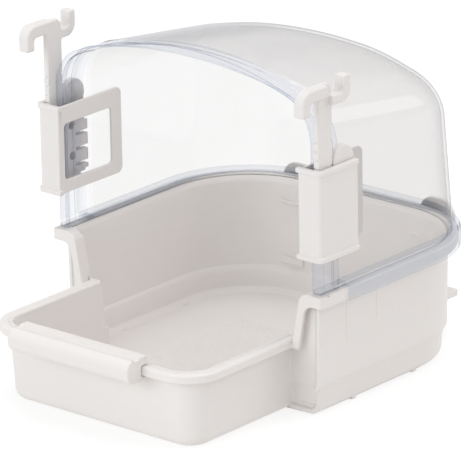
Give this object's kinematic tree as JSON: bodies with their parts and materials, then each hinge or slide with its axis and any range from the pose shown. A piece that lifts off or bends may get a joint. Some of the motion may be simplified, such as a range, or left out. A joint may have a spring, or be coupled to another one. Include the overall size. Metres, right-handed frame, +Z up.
{
  "type": "cage bird bath",
  "caption": "White basin with a front tray under a clear arched hood, with height-adjustable cage hooks and a clip-on perch.",
  "frame": {"origin": "on the underside, on the symmetry plane, under the front face of the wide rim", "axes": "+X to the right seen from the tray, +Y from the tray to the back, +Z up"},
  "size_m": [0.1676, 0.2089, 0.1592],
  "materials": {
    "white_plastic": "satin moulded white plastic",
    "clear_plastic": "clear, polished, faintly blue at the edges",
    "bracket_plastic": "satin moulded white plastic"
  },
  "bodies": {
    "basin": {"basin": "white_plastic"},
    "cover": {"cover": "clear_plastic", "left_holder": "bracket_plastic", "right_holder": "bracket_plastic"},
    "perch": {"perch": "white_plastic"},
    "left_hook": {"left_hook": "bracket_plastic"},
    "right_hook": {"right_hook": "bracket_plastic"},
    "left_lock": {"left_lock": "bracket_plastic"},
    "right_lock": {"right_lock": "bracket_plastic"}
  },
  "joints": [
    {"name": "cover_lift", "type": "slide", "parent": "basin", "child": "cover", "axis": [0, 0, 1], "range_m": [0, 0.06]},
    {"name": "perch_pull", "type": "slide", "parent": "basin", "child": "perch", "axis": [0, -1, 0], "range_m": [0, 0.03]},
    {"name": "left_hook_height", "type": "slide", "parent": "cover", "child": "left_hook", "axis": [0, 0, 1], "range_m": [-0.017, 0.016]},
    {"name": "right_hook_height", "type": "slide", "parent": "cover", "child": "right_hook", "axis": [0, 0, 1], "range_m": [-0.017, 0.016]},
    {"name": "left_lock_release", "type": "slide", "parent": "cover", "child": "left_lock", "axis": [0, 1, 0], "range_m": [0, 0.0025]},
    {"name": "right_lock_release", "type": "slide", "parent": "cover", "child": "right_lock", "axis": [0, 1, 0], "range_m": [0, 0.0025]}
  ]
}
